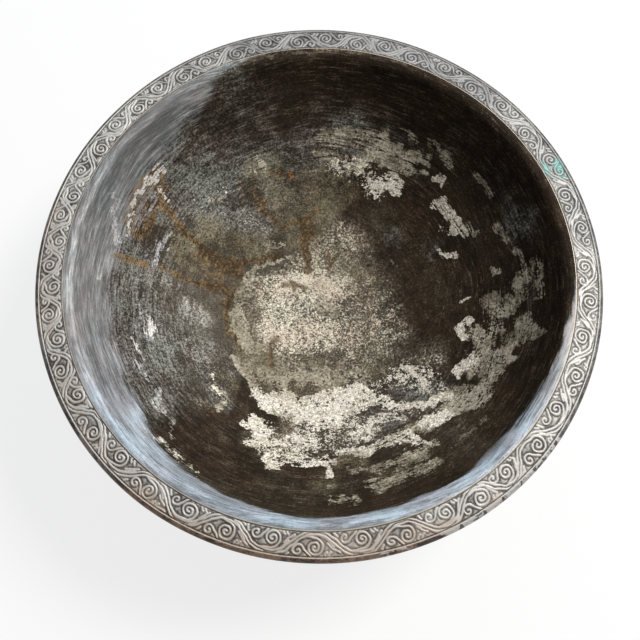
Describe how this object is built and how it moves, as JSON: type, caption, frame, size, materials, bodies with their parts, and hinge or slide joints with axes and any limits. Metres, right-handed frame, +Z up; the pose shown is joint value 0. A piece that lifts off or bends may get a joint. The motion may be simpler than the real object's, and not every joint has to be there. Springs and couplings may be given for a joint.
{
  "type": "footed bowl",
  "caption": "Broad round copper bowl with a sloping ornamented rim flange, a rolled edge and a hollow flared foot.",
  "frame": {"origin": "on the bowl's axis, in the plane that the foot stands on", "axes": "+Z up along the axis of the bowl; -Y is the side nearest to the viewer and +X the viewer's right"},
  "size_m": [0.3856, 0.3856, 0.1246],
  "materials": {
    "tinned_copper": "worn and stained tin over copper, matt",
    "bare_copper": "aged copper with remains of tin, satin",
    "iron_wire": "rusted",
    "soft_solder": "dull grey solder"
  },
  "bodies": {
    "root": {"bowl_body": "tinned_copper", "rim_wire": "iron_wire", "foot_ring": "bare_copper", "foot_solder_outer": "soft_solder", "foot_solder_inner": "soft_solder"}
  },
  "joints": []
}
